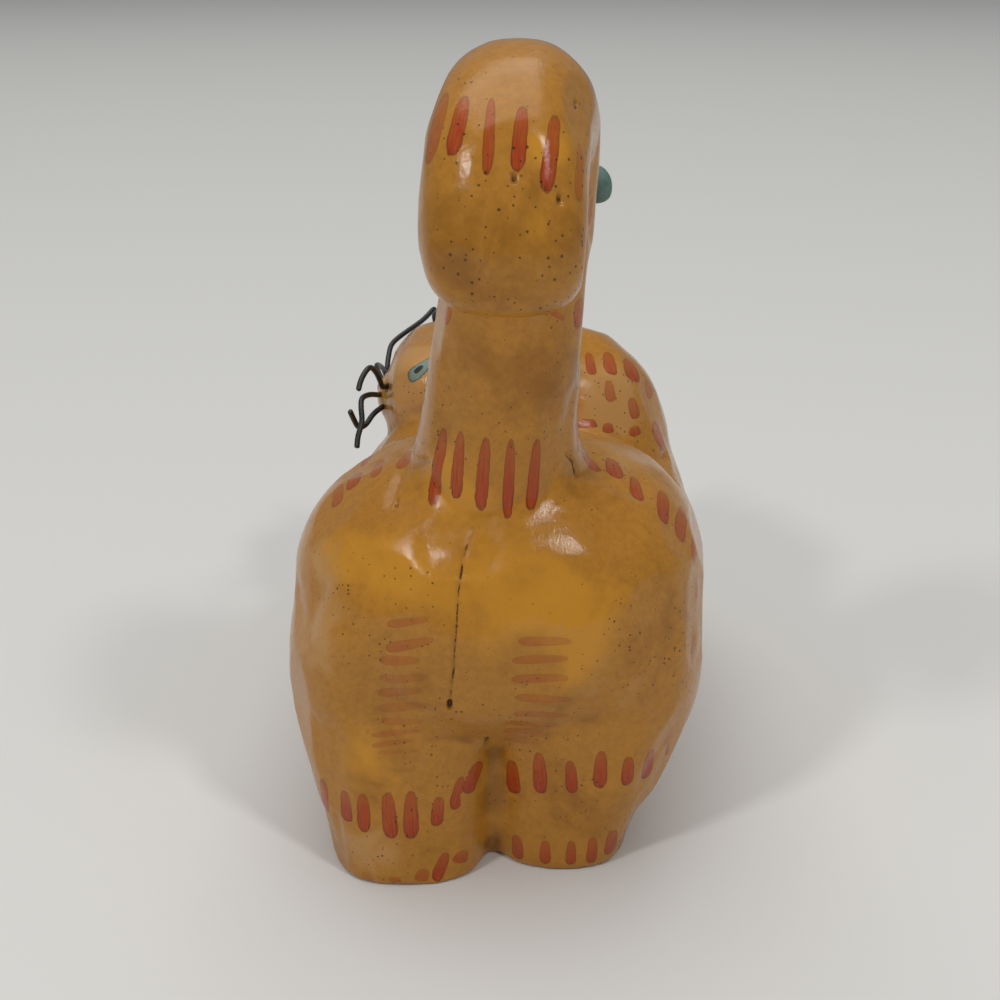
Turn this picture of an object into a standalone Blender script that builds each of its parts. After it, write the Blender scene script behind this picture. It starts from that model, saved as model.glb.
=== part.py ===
"""A carved wooden cat on four stout legs. Its head is turned to its left, its thick tail stands
up from the rump and hooks back over, and its whiskers are bent wire set in drilled holes.

Metres, +Z up. The cat faces -Y, so its left side is +X, and its feet stand on the plane z = 0.
The forms are given in shares of the figure's height, from a mark on the floor that lies under
the tail at the back edge of the left hind foot. The finished figure is then set with the
middle of its bounding box over the origin.
"""

import math
from dataclasses import dataclass

import bmesh
import bpy
from mathutils import Vector

# Driving dimensions
HEIGHT = 0.100  # floor to the top of the hooked tail
WIRE_DIAMETER = 0.0008  # whisker wire
WIRE_HOLE_DEPTH = 0.0024  # how deep each whisker is set in the muzzle
BEAD_DIAMETER = 0.0042  # bead on the far side of the tail
FIT_GAP = 0.0003  # clearance of the wires in their holes, and of the bead on the tail

# How finely the carving's surface is kept
GRAIN = 0.0085 * HEIGHT  # size of the cells that join the rough forms into one
BODY_SMOOTHING = 28  # passes that run the body, legs and tail into each other
DRAWN_IN = 0.0014 * HEIGHT  # how far those passes draw in the tail's surface
HEAD_SMOOTHING = 10  # the head is left crisper
BODY_KEPT_SHARE = 0.080  # share of the joined surface's triangles that is kept
HEAD_KEPT_SHARE = 0.16
LUMP_SEGMENTS = 40
LUMP_RINGS = 24
RING_POINTS = 28
SECTIONS_PER_SPAN = 5
WIRE_POINTS_PER_SPAN = 3
HOLE_SIDES = 10
BEAD_SEGMENTS = 16
BEAD_RINGS = 10

SUNK = 0.045  # share of the height that the legs run on below the floor, to be cut off flat
SLAB = (2.0, 3.0, 0.4)  # what cuts them off, as wide and long as the whole figure and more
SLAB_MIDDLE = -0.4  # along Y


@dataclass(frozen=True)
class Lump:
    """A rounded block: a squareness of 2 is an ellipsoid, and more is nearer to a box."""

    centre: tuple
    half: tuple
    squareness: float


@dataclass(frozen=True)
class Section:
    """One cross-section of a long form, square to its length: its width is the one across X."""

    centre: tuple
    half_width: float
    half_depth: float
    squareness: float = 2.3


# The rump, the chest that the front legs stand under, and what joins the hind legs
ENDS = (
    Lump((0.001, -0.170, 0.336), (0.256, 0.206, 0.190), 2.2),
    Lump((-0.035, -0.625, 0.298), (0.222, 0.178, 0.170), 2.35),
    Lump((0.010, -0.105, 0.262), (0.125, 0.110, 0.112), 2.0),
)

# The body runs between them
BODY = (
    Section((0.000, -0.080, 0.335), 0.220, 0.165),
    Section((-0.010, -0.190, 0.336), 0.248, 0.190),
    Section((-0.010, -0.300, 0.314), 0.258, 0.172),
    Section((-0.020, -0.420, 0.296), 0.256, 0.146),
    Section((-0.035, -0.540, 0.298), 0.240, 0.166),
    Section((-0.034, -0.660, 0.298), 0.206, 0.162),
)

# The neck rises from the shoulders, and leans to the right behind the turned head
NECK = (
    Section((-0.024, -0.560, 0.260), 0.210, 0.170),
    Section((-0.054, -0.565, 0.360), 0.215, 0.190),
    Section((-0.068, -0.574, 0.440), 0.174, 0.176),
    Section((-0.064, -0.590, 0.490), 0.122, 0.145),
    Section((-0.054, -0.602, 0.524), 0.076, 0.100),
    Section((-0.048, -0.605, 0.543), 0.038, 0.050),
)

HEAD = (
    Lump((0.012, -0.622, 0.416), (0.156, 0.148, 0.118), 3.9),
    Lump((0.032, -0.622, 0.446), (0.118, 0.142, 0.088), 2.3),
    Lump((-0.030, -0.622, 0.500), (0.102, 0.130, 0.080), 2.2),
    Lump((0.150, -0.600, 0.440), (0.036, 0.062, 0.034), 2.3),
)

LEGS = (
    (
        Section((0.113, -0.100, -SUNK), 0.093, 0.103, 2.7),
        Section((0.115, -0.104, 0.060), 0.108, 0.110, 2.6),
        Section((0.123, -0.122, 0.140), 0.124, 0.130),
        Section((0.129, -0.150, 0.220), 0.136, 0.158),
        Section((0.127, -0.168, 0.300), 0.130, 0.178),
        Section((0.115, -0.178, 0.370), 0.095, 0.165),
    ),
    (
        Section((-0.071, -0.131, -SUNK), 0.080, 0.098, 2.7),
        Section((-0.082, -0.130, 0.060), 0.098, 0.108, 2.6),
        Section((-0.099, -0.136, 0.140), 0.121, 0.130),
        Section((-0.114, -0.155, 0.220), 0.138, 0.156),
        Section((-0.119, -0.170, 0.300), 0.134, 0.177),
        Section((-0.115, -0.178, 0.370), 0.097, 0.165),
    ),
    (
        Section((0.096, -0.650, -SUNK), 0.090, 0.098, 2.7),
        Section((0.095, -0.645, 0.080), 0.093, 0.100),
        Section((0.095, -0.630, 0.180), 0.104, 0.116),
        Section((0.088, -0.610, 0.290), 0.106, 0.126),
        Section((0.078, -0.600, 0.360), 0.074, 0.090),
    ),
    (
        Section((-0.110, -0.650, -SUNK), 0.092, 0.098, 2.7),
        Section((-0.112, -0.645, 0.080), 0.096, 0.100),
        Section((-0.116, -0.630, 0.180), 0.112, 0.116),
        Section((-0.118, -0.610, 0.290), 0.124, 0.126),
        Section((-0.110, -0.600, 0.370), 0.086, 0.090),
    ),
)

EARS = (
    (
        Section((0.045, -0.540, 0.500), 0.034, 0.056),
        Section((0.034, -0.528, 0.560), 0.025, 0.040),
        Section((0.022, -0.514, 0.638), 0.012, 0.016),
    ),
    (
        Section((0.045, -0.712, 0.500), 0.034, 0.056),
        Section((0.034, -0.724, 0.560), 0.025, 0.040),
        Section((0.022, -0.738, 0.638), 0.012, 0.016),
    ),
)

TAIL = (
    Section((0.000, -0.170, 0.330), 0.145, 0.145, 2.2),
    Section((0.004, -0.145, 0.450), 0.116, 0.117, 2.2),
    Section((0.001, -0.114, 0.560), 0.093, 0.091, 2.2),
    Section((-0.010, -0.092, 0.670), 0.086, 0.082, 2.2),
    Section((-0.020, -0.082, 0.770), 0.081, 0.079, 2.2),
    Section((-0.023, -0.072, 0.832), 0.080, 0.078, 2.2),
    Section((-0.021, -0.038, 0.896), 0.084, 0.076, 2.2),
    Section((-0.016, 0.035, 0.927), 0.080, 0.075, 2.15),
    Section((-0.0055, 0.108, 0.893), 0.080, 0.071, 2.3),
    Section((-0.004, 0.140, 0.825), 0.081, 0.068, 2.6),
    Section((-0.004, 0.142, 0.790), 0.076, 0.062, 2.6),
    Section((-0.003, 0.140, 0.764), 0.056, 0.044, 2.4),
)
BEAD_SECTION = 5  # the bead is glued beside this section of the tail
BEAD_SIDE = (-0.79, -0.61)  # seen from above, the way from the tail's middle to the bead


@dataclass(frozen=True)
class WhiskerGroup:
    """The whiskers on one side of the muzzle, each from its hole's mouth to its free end."""

    side: str
    drilled: tuple  # the way the holes go into the muzzle
    routes: tuple


WHISKERS = (
    WhiskerGroup(
        side="left",
        drilled=(-0.50, -0.86, 0.0),
        routes=(
            ((0.172, -0.553, 0.465), (0.177, -0.530, 0.493), (0.185, -0.505, 0.511),
             (0.195, -0.485, 0.501), (0.199, -0.470, 0.488)),
            ((0.178, -0.566, 0.450), (0.188, -0.525, 0.464), (0.197, -0.498, 0.467),
             (0.197, -0.480, 0.458), (0.195, -0.465, 0.444), (0.200, -0.450, 0.426),
             (0.201, -0.440, 0.413)),
            ((0.173, -0.553, 0.436), (0.185, -0.535, 0.431), (0.195, -0.520, 0.420),
             (0.204, -0.505, 0.421), (0.209, -0.493, 0.436), (0.213, -0.480, 0.454)),
        ),
    ),
    WhiskerGroup(
        side="right",
        drilled=(-0.50, 0.86, 0.0),
        routes=(
            ((0.172, -0.647, 0.465), (0.171, -0.680, 0.480), (0.164, -0.712, 0.492),
             (0.124, -0.770, 0.508), (0.106, -0.800, 0.520), (0.107, -0.818, 0.503),
             (0.105, -0.825, 0.488)),
            ((0.178, -0.634, 0.450), (0.190, -0.675, 0.458), (0.192, -0.715, 0.452),
             (0.186, -0.745, 0.436), (0.182, -0.760, 0.415)),
            ((0.173, -0.647, 0.436), (0.184, -0.668, 0.426), (0.188, -0.690, 0.412),
             (0.184, -0.715, 0.414), (0.178, -0.735, 0.428)),
        ),
    ),
)


def at(point):
    """A point given in shares of the figure's height, in metres."""
    return Vector(point) * HEIGHT


def clear_scene():
    for old in list(bpy.data.objects):
        bpy.data.objects.remove(old, do_unlink=True)


def new_collection(name):
    collection = bpy.data.collections.new(name)
    bpy.context.scene.collection.children.link(collection)
    return collection


def paint(name, colour, roughness, metallic=0.0):
    material = bpy.data.materials.new(name)
    material.use_nodes = True
    shader = material.node_tree.nodes["Principled BSDF"]
    shader.inputs["Base Color"].default_value = (*colour, 1.0)
    shader.inputs["Roughness"].default_value = roughness
    shader.inputs["Metallic"].default_value = metallic
    return material


def on_superellipse(direction, squareness):
    """Where that direction meets the unit curve, or surface, |x|^n + |y|^n + |z|^n = 1."""
    size = sum(abs(share) ** squareness for share in direction) ** (1.0 / squareness)
    return Vector([share / size for share in direction])


def add_lump(bm, lump):
    made = bmesh.ops.create_uvsphere(bm, u_segments=LUMP_SEGMENTS, v_segments=LUMP_RINGS, radius=1.0)
    for vertex in made["verts"]:
        shaped = on_superellipse(vertex.co, lump.squareness)
        vertex.co = at(lump.centre) + at([s * h for s, h in zip(shaped, lump.half)])


def smooth_between(values, span, t):
    """A Catmull-Rom curve through the values, at share t of that span."""
    before = values[max(span - 1, 0)]
    start, end = values[span], values[span + 1]
    after = values[min(span + 2, len(values) - 1)]
    return 0.5 * (
        2 * start
        + (end - before) * t
        + (2 * before - 5 * start + 4 * end - after) * t**2
        + (3 * start - before - 3 * end + after) * t**3
    )


def along(values, steps):
    """The values themselves with steps - 1 more between each two of them, on a smooth curve."""
    found = []
    for span in range(len(values) - 1):
        found += [smooth_between(values, span, i / steps) for i in range(steps)]
    return found + [values[-1]]


def add_loft(bm, sections):
    """A closed body through the sections; each stands square to the path of their centres."""
    centres = along([at(s.centre) for s in sections], SECTIONS_PER_SPAN)
    widths = along([s.half_width * HEIGHT for s in sections], SECTIONS_PER_SPAN)
    depths = along([s.half_depth * HEIGHT for s in sections], SECTIONS_PER_SPAN)
    squareness = along([s.squareness for s in sections], SECTIONS_PER_SPAN)
    rings = []
    for i, centre in enumerate(centres):
        ahead = centres[min(i + 1, len(centres) - 1)] - centres[max(i - 1, 0)]
        depth_axis = ahead.cross(Vector((1, 0, 0))).normalized()
        width_axis = depth_axis.cross(ahead).normalized()
        ring = []
        for k in range(RING_POINTS):
            angle = 2 * math.pi * k / RING_POINTS
            shaped = on_superellipse((math.cos(angle), math.sin(angle)), squareness[i])
            offset = width_axis * shaped.x * widths[i] + depth_axis * shaped.y * depths[i]
            ring.append(bm.verts.new(centre + offset))
        rings.append(ring)
    faces = [bm.faces.new(rings[0]), bm.faces.new(rings[-1])]
    for lower, upper in zip(rings, rings[1:]):
        for k in range(RING_POINTS):
            after = (k + 1) % RING_POINTS
            faces.append(bm.faces.new((lower[k], lower[after], upper[after], upper[k])))
    bmesh.ops.recalc_face_normals(bm, faces=faces)


def mesh_object(name, bm, collection):
    mesh = bpy.data.meshes.new(name)
    bm.to_mesh(mesh)
    bm.free()
    made = bpy.data.objects.new(name, mesh)
    collection.objects.link(made)
    return made


def cutter(name, bm, collection):
    made = mesh_object(name, bm, collection)
    made.hide_render = True
    made.display_type = "WIRE"
    return made


def floor_cutter(collection):
    """A slab whose top is the floor: it takes off all that is below."""
    bm = bmesh.new()
    bmesh.ops.create_cube(bm, size=1.0)
    bmesh.ops.scale(bm, vec=at(SLAB), verts=bm.verts)
    bmesh.ops.translate(bm, vec=at((0.0, SLAB_MIDDLE, -SLAB[2] / 2)), verts=bm.verts)
    return cutter("below_floor", bm, collection)


def rough_form(name, lumps, lofts, smoothing, kept_share, collection):
    """Lumps and lofted forms joined into one skin, run into each other and thinned out."""
    bm = bmesh.new()
    for lump in lumps:
        add_lump(bm, lump)
    for sections in lofts:
        add_loft(bm, sections)
    form = mesh_object(name, bm, collection)
    join = form.modifiers.new("join_forms", "REMESH")
    join.mode = "VOXEL"
    join.voxel_size = GRAIN
    join.use_smooth_shade = True
    soften = form.modifiers.new("soften", "SMOOTH")
    soften.factor = 0.5
    soften.iterations = smoothing
    thin_out = form.modifiers.new("thin_out", "DECIMATE")
    thin_out.ratio = kept_share
    return form


def carve_cat(collection, cutters, wood):
    """The whole carving: the body with its legs and tail, the head on its neck, the feet flat."""
    cat = rough_form("cat", ENDS, (BODY, NECK, *LEGS, TAIL), BODY_SMOOTHING, BODY_KEPT_SHARE, collection)
    cat.data.materials.append(wood)
    head = rough_form("head_form", HEAD, EARS, HEAD_SMOOTHING, HEAD_KEPT_SHARE, cutters)
    head.hide_render = True
    head.display_type = "WIRE"
    add_head = cat.modifiers.new("add_head", "BOOLEAN")
    add_head.operation = "UNION"
    add_head.object = head
    flatten = cat.modifiers.new("flatten_feet", "BOOLEAN")
    flatten.operation = "DIFFERENCE"
    flatten.object = floor_cutter(cutters)
    return cat


def wire_route(points, drilled):
    """A whisker's points, from the bottom of its hole to its free end."""
    outside = along([at(p) for p in points], WIRE_POINTS_PER_SPAN)
    return [outside[0] + Vector(drilled).normalized() * (WIRE_HOLE_DEPTH - FIT_GAP)] + outside


def drill_hole(cat, name, mouth, drilled, cutters):
    """The hole that a whisker is set in. The drill starts as far outside as it goes in."""
    radius = WIRE_DIAMETER / 2 + FIT_GAP
    length = 2 * WIRE_HOLE_DEPTH
    bm = bmesh.new()
    bmesh.ops.create_cone(
        bm, cap_ends=True, segments=HOLE_SIDES, radius1=radius, radius2=radius, depth=length
    )
    bmesh.ops.rotate(bm, matrix=Vector(drilled).to_track_quat("Z", "Y").to_matrix(), verts=bm.verts)
    bmesh.ops.translate(bm, vec=at(mouth), verts=bm.verts)
    drill = cat.modifiers.new(name, "BOOLEAN")
    drill.operation = "DIFFERENCE"
    drill.object = cutter(name, bm, cutters)


def bend_whisker(name, points, drilled, collection, steel):
    curve = bpy.data.curves.new(name, "CURVE")
    curve.dimensions = "3D"
    curve.bevel_depth = WIRE_DIAMETER / 2
    curve.bevel_resolution = 2
    curve.use_fill_caps = True
    route = wire_route(points, drilled)
    spline = curve.splines.new("POLY")
    spline.points.add(len(route) - 1)
    for spot, place in zip(spline.points, route):
        spot.co = (*place, 1.0)
    whisker = bpy.data.objects.new(name, curve)
    whisker.data.materials.append(steel)
    collection.objects.link(whisker)
    return whisker


def glue_bead(collection, glaze):
    """The bead sits against the tail, on the side away from its hooked end."""
    tail = TAIL[BEAD_SECTION]
    skin = on_superellipse(Vector(BEAD_SIDE).normalized(), tail.squareness)
    reach = at((skin.x * tail.half_width, skin.y * tail.half_depth, 0.0))
    outward = reach.normalized()
    centre = at(tail.centre) + reach + outward * (FIT_GAP + BEAD_DIAMETER / 2 - DRAWN_IN)
    bm = bmesh.new()
    bmesh.ops.create_uvsphere(
        bm, u_segments=BEAD_SEGMENTS, v_segments=BEAD_RINGS, radius=BEAD_DIAMETER / 2
    )
    bmesh.ops.translate(bm, vec=centre, verts=bm.verts)
    bead = mesh_object("tail_bead", bm, collection)
    bead.data.materials.append(glaze)
    bead.data.shade_smooth()
    return bead


def stand_on_origin(pieces, collection):
    """Move the whole figure so that the middle of its box lies over the origin."""
    bpy.context.view_layer.update()
    graph = bpy.context.evaluated_depsgraph_get()
    corners = []
    for piece in pieces:
        mesh = piece.evaluated_get(graph).to_mesh()
        corners += [piece.matrix_world @ v.co for v in mesh.vertices]
        piece.evaluated_get(graph).to_mesh_clear()
    middle = [(min(c[i] for c in corners) + max(c[i] for c in corners)) / 2 for i in range(2)]
    mark = bpy.data.objects.new("floor_mark", None)
    mark.location = (-middle[0], -middle[1], 0.0)
    collection.objects.link(mark)
    return mark


def main():
    clear_scene()
    figure = new_collection("carved_cat")
    cutters = new_collection("cutters")
    wood = paint("ochre_painted_wood", (0.48, 0.23, 0.045), 0.35)
    steel = paint("black_wire", (0.012, 0.012, 0.013), 0.45, metallic=0.6)
    glaze = paint("teal_bead", (0.07, 0.15, 0.14), 0.4)
    cat = carve_cat(figure, cutters, wood)
    pieces = [cat]
    for group in WHISKERS:
        for number, points in enumerate(group.routes, start=1):
            name = f"whisker_{group.side}_{number}"
            drill_hole(cat, f"hole_of_{name}", points[0], group.drilled, cutters)
            pieces.append(bend_whisker(name, points, group.drilled, figure, steel))
    pieces.append(glue_bead(figure, glaze))
    mark = stand_on_origin(pieces, figure)
    for piece in pieces + list(cutters.objects):
        piece.parent = mark


if __name__ == "__main__":
    main()
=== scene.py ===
"""The looks of a small carved wooden cat: knife work, ochre and brick red paint, lacquer, wire.

Everything is in metres, +Z up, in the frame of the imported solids. The cat faces -Y and its left
side is +X, and the photograph was taken from behind it. Places that were read from the
photograph are pixels of its frame of 1000 by 1000, and are laid on the carving along the
camera's own lines of sight.
"""

import logging
import math
from dataclasses import dataclass, field
from enum import Enum
from functools import partial
from typing import Any, Callable, Optional, Sequence, Union

import bpy
import numpy as np
from mathutils import Matrix, Vector, noise
from mathutils.bvhtree import BVHTree


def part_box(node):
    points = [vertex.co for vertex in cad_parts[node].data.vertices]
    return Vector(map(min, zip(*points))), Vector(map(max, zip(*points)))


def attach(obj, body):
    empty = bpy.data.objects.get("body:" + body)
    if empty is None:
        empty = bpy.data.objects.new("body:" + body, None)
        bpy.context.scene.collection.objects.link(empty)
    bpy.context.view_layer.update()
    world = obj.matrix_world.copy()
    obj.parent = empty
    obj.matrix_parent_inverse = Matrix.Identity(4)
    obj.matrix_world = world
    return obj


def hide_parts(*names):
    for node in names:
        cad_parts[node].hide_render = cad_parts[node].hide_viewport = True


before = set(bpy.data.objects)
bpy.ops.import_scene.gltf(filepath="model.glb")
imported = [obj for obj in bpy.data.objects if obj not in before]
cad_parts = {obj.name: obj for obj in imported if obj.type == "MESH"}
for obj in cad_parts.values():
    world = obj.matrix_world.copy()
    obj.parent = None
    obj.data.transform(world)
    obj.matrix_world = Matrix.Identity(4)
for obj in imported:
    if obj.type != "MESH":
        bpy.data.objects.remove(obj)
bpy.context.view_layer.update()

log = logging.getLogger("carved_cat")

MM = 0.001
RIDES_ON = "root"
SEED = 7

Pixel = tuple[float, float]
Point = tuple[float, float, float]
Socket = bpy.types.NodeSocket
Source = Union[bpy.types.Node, bpy.types.NodeSocket]
AddNode = Callable[..., bpy.types.Node]

# The attribute that holds the ground's tones, painted shade and painted reflection among them
TONES = "tone"

# Vertices closer than this are one, and how fine a new ball is
SAME_PLACE = 0.001 * MM
BALL = {"segments": 32, "ring_count": 20}

# The inputs and the output of a Mix node that mixes colours
FACTOR, COLOUR_A, COLOUR_B, MIXED = 0, 6, 7, 2


def linear(hex_colour: str) -> tuple[float, float, float, float]:
    """Turn an sRGB hex colour into the linear values that a shader takes.

    Args:
        hex_colour: the colour, such as "#B27B2C".

    Returns:
        Red, green, blue and an alpha of 1.
    """
    parts = [int(hex_colour[i:i + 2], 16) / 255 for i in (1, 3, 5)]
    red, green, blue = [p / 12.92 if p <= 0.04045 else ((p + 0.055) / 1.055) ** 2.4 for p in parts]
    return red, green, blue, 1.0


def feed(node: bpy.types.Node, links: dict[Any, Source]) -> None:
    """Link a node's inputs.

    Args:
        node: the node that is fed.
        links: what feeds an input, by its name or number. A node stands for its first output.
    """
    for key, source in links.items():
        socket = source.outputs[0] if isinstance(source, bpy.types.Node) else source
        node.id_data.links.new(socket, node.inputs[key])


def add_node(
    tree: bpy.types.NodeTree,
    kind: str,
    settings: Optional[dict[Any, Any]] = None,
    links: Optional[dict[Any, Source]] = None,
) -> bpy.types.Node:
    """Add a node with its settings and its links.

    Args:
        tree: the material's node tree.
        kind: the node's type, without the ShaderNode that it starts with.
        settings: values by the name of a property, or by the name or number of an input.
        links: what feeds its inputs.

    Returns:
        The new node.
    """
    node = tree.nodes.new(f"ShaderNode{kind}")
    for key, value in (settings or {}).items():
        if isinstance(key, str) and hasattr(node, key):
            setattr(node, key, value)
        else:
            node.inputs[key].default_value = value
    feed(node, links or {})
    return node


def start_material(name: str) -> tuple[bpy.types.Material, bpy.types.Node, AddNode, Socket]:
    """Start a material.

    Args:
        name: its name.

    Returns:
        The material, its shader, what adds a node to it, and Object coordinates.
    """
    material = bpy.data.materials.new(name)
    material.use_nodes = True
    add = partial(add_node, material.node_tree)
    place = add("TexCoord").outputs["Object"]
    return material, material.node_tree.nodes["Principled BSDF"], add, place


@dataclass(frozen=True)
class Grain:
    """A noise pattern. Its features are about as wide as its size in millimetres."""

    size_mm: float
    detail: float = 2.0
    roughness: float = 0.5
    distortion: float = 0.0

    def settings(self) -> dict[str, float]:
        """Say it in a Noise Texture node's words.

        Returns:
            The node's settings.
        """
        return {
            "Scale": 1 / (self.size_mm * MM), "Detail": self.detail,
            "Roughness": self.roughness, "Distortion": self.distortion,
        }


@dataclass(frozen=True)
class Ramp:
    """How a value turns into another, which goes from low to high while it goes from start to end."""

    start: float
    end: float
    low: float = 0.0
    high: float = 1.0
    soft: bool = False

    def settings(self) -> dict[str, Any]:
        """Say it in a Map Range node's words.

        Returns:
            The node's settings.
        """
        return {
            "interpolation_type": "SMOOTHSTEP" if self.soft else "LINEAR",
            "From Min": self.start, "From Max": self.end, "To Min": self.low, "To Max": self.high,
        }


def deselect_all() -> None:
    """Leave nothing selected."""
    for piece in bpy.context.selected_objects:
        piece.select_set(False)


def make_active(piece: bpy.types.Object) -> None:
    """Select one piece alone and make it the active one.

    Args:
        piece: the piece.
    """
    deselect_all()
    piece.select_set(True)
    bpy.context.view_layer.objects.active = piece


def apply_modifier(piece: bpy.types.Object, kind: str, **settings: Any) -> None:
    """Add a modifier and apply it at once.

    Args:
        piece: the mesh that it changes.
        kind: the modifier's type.
        **settings: values by the name of a property.
    """
    make_active(piece)
    modifier = piece.modifiers.new(kind.lower(), kind)
    for key, value in settings.items():
        setattr(modifier, key, value)
    bpy.ops.object.modifier_apply(modifier=modifier.name)


def copy_of_solid(node: str, name: str) -> bpy.types.Object:
    """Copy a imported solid, with its loose triangles merged into one skin.

    Args:
        node: the solid's name in the frame.
        name: the copy's name.

    Returns:
        The copy, at the origin as the solid is.
    """
    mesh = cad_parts[node].data.copy()
    mesh.name = name
    mesh.materials.clear()
    piece = bpy.data.objects.new(name, mesh)
    bpy.context.scene.collection.objects.link(piece)
    make_active(piece)
    bpy.ops.object.mode_set(mode="EDIT")
    bpy.ops.mesh.select_all(action="SELECT")
    bpy.ops.mesh.remove_doubles(threshold=SAME_PLACE)
    bpy.ops.object.mode_set(mode="OBJECT")
    if mesh.has_custom_normals:
        bpy.ops.mesh.customdata_custom_splitnormals_clear()
    return piece


def vectors(items: Any, name: str) -> np.ndarray:
    """A vector that each item of a mesh has, such as its place or its normal.

    Args:
        items: the mesh's vertices, vertex normals or faces.
        name: which of their values.

    Returns:
        One row for each item.
    """
    values = np.empty(len(items) * 3, np.float32)
    items.foreach_get(name, values)
    return values.reshape(-1, 3).astype(float)


def vertex_places(mesh: bpy.types.Mesh) -> np.ndarray:
    """The places of a mesh's vertices, one row each."""
    return vectors(mesh.vertices, "co")


def vertex_normals(mesh: bpy.types.Mesh) -> np.ndarray:
    """The normals of a mesh's vertices, one row each."""
    return vectors(mesh.vertex_normals, "vector")


def move_vertices(mesh: bpy.types.Mesh, places: np.ndarray) -> None:
    """Put a mesh's vertices at these places."""
    mesh.vertices.foreach_set("co", places.ravel())
    mesh.update()


def select_faces(piece: bpy.types.Object, wanted: np.ndarray) -> None:
    """Go into edit mode with only these faces selected.

    Args:
        piece: the mesh.
        wanted: True for each face that is to be selected.
    """
    make_active(piece)
    bpy.ops.object.mode_set(mode="EDIT")
    bpy.ops.mesh.select_mode(type="FACE")
    bpy.ops.mesh.select_all(action="DESELECT")
    bpy.ops.object.mode_set(mode="OBJECT")
    piece.data.polygons.foreach_set("select", wanted)
    bpy.ops.object.mode_set(mode="EDIT")


def fade(share: np.ndarray) -> np.ndarray:
    """A soft bell: 1 at a share of 0, and 0 from a share of 1 on."""
    return (1 - np.clip(share, 0, 1) ** 2) ** 2


def ripple(places: np.ndarray, size: float, offset: float) -> np.ndarray:
    """Smooth noise between -1 and 1 at these places.

    Args:
        places: points, one row each, in metres.
        size: about how wide one ripple is, in metres.
        offset: which of many such patterns.

    Returns:
        One value for each place.
    """
    return np.array([noise.noise(Vector(p) / size + Vector((offset, 0, 0))) for p in places])


@dataclass(frozen=True)
class PhotoCamera:
    """The photograph's camera. It stands behind the cat and looks down on it a little.

    Its place, angle and lens were found by laying the solids over the photograph.
    """

    place: Point = (0.000512, 0.178671, 0.1108)
    looks_down_deg: float = 22.0
    picture_px: float = 1000.0
    focal_px: float = 1450.0
    sensor_mm: float = 36.0

    def line_of_sight(self, pixel: Pixel) -> Vector:
        """The way in which the camera sees a pixel.

        Args:
            pixel: its place in the photograph.

        Returns:
            The direction, one metre long.
        """
        pitch = math.radians(self.looks_down_deg)
        forward = Vector((0.0, -math.cos(pitch), -math.sin(pitch)))
        up = Vector((0.0, -math.sin(pitch), math.cos(pitch)))
        right = Vector((-1.0, 0.0, 0.0))
        across = (pixel[0] - self.picture_px / 2) / self.focal_px
        down = (pixel[1] - self.picture_px / 2) / self.focal_px
        return (forward + right * across - up * down).normalized()

    def build(self) -> bpy.types.Object:
        """Add the camera and make it the scene's own.

        Returns:
            The camera.
        """
        turn = (math.radians(90.0 - self.looks_down_deg), 0.0, math.pi)
        bpy.ops.object.camera_add(location=self.place, rotation=turn)
        camera = bpy.context.object
        camera.name = "photo_camera"
        camera.data.sensor_width = self.sensor_mm
        camera.data.lens = self.sensor_mm * self.focal_px / self.picture_px
        camera.data.clip_start = 5 * MM
        bpy.context.scene.camera = camera
        return camera


class Mark(Enum):
    """The kinds of mark on the carving. Each is an attribute of its mesh by this name."""

    DASH = "dash"
    LINE = "line"
    EYE = "eye"
    ROSE = "rose"
    CRACK = "crack"
    PIT = "pit"


class Tone(Enum):
    """Patches of the ochre ground, as the column of the tone attribute that each one fills; umber also
    holds painted shade, pale painted reflection.
    """

    YELLOW = 0
    UMBER = 1
    PALE = 2


@dataclass(frozen=True)
class Stroke:
    """A brush mark or a cut that lies on the surface along a short path.

    Attributes:
        path: points on the surface, at least two.
        normals: the way out of the surface at each of them.
        width: its full width in metres.
        strength: how much paint it holds, or how deep it is, from 0 to 1.
    """

    path: tuple[Vector, ...]
    normals: tuple[Vector, ...]
    width: float
    strength: float = 1.0

    def length(self) -> float:
        """The length of its path."""
        return sum((b - a).length for a, b in zip(self.path, self.path[1:]))

    def middle(self) -> Vector:
        """A point near the middle of its path."""
        return sum(self.path, Vector()) / len(self.path)

    def measure(self, places: np.ndarray) -> tuple[np.ndarray, np.ndarray]:
        """Where places lie in the stroke's own terms.

        Args:
            places: points, one row each.

        Returns:
            How far along the stroke's half length each is from its middle, and how far
            across its half width. Both are between -1 and 1 inside the stroke.
        """
        along = np.zeros(len(places))
        across = np.zeros(len(places))
        nearest = np.full(len(places), np.inf)
        passed = 0.0
        last = len(self.path) - 2
        for number, (start, end) in enumerate(zip(self.path, self.path[1:])):
            reach = (end - start).length
            ahead = (end - start).normalized()
            aside = self.normals[number].cross(ahead).normalized()
            offset = places - np.array(start)
            run = offset @ np.array(ahead)
            side = offset @ np.array(aside)
            held = np.clip(run, -np.inf if number == 0 else 0.0, np.inf if number == last else reach)
            away = np.hypot(run - held, side)
            closer = away < nearest
            nearest[closer] = away[closer]
            along[closer] = (passed + held)[closer]
            across[closer] = (np.sign(side) * away)[closer]
            passed += reach
        return along / (passed / 2) - 1, across / (self.width / 2)

    def distance(self, places: np.ndarray) -> np.ndarray:
        """How far places lie from the stroke's path.

        Args:
            places: points, one row each.

        Returns:
            The distance of each, in half widths of the stroke.
        """
        along, across = self.measure(places)
        past = np.maximum(np.abs(along) - 1, 0) * self.length() / self.width
        return np.hypot(past, across)

    def around(self, places: np.ndarray, reach: float) -> np.ndarray:
        """Which places are within reach of its middle, and so on its side of the carving.

        Args:
            places: points, one row each.
            reach: the distance from its middle, in metres.

        Returns:
            True for each place that is.
        """
        return np.linalg.norm(places - np.array(self.middle()), axis=1) < reach


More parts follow.
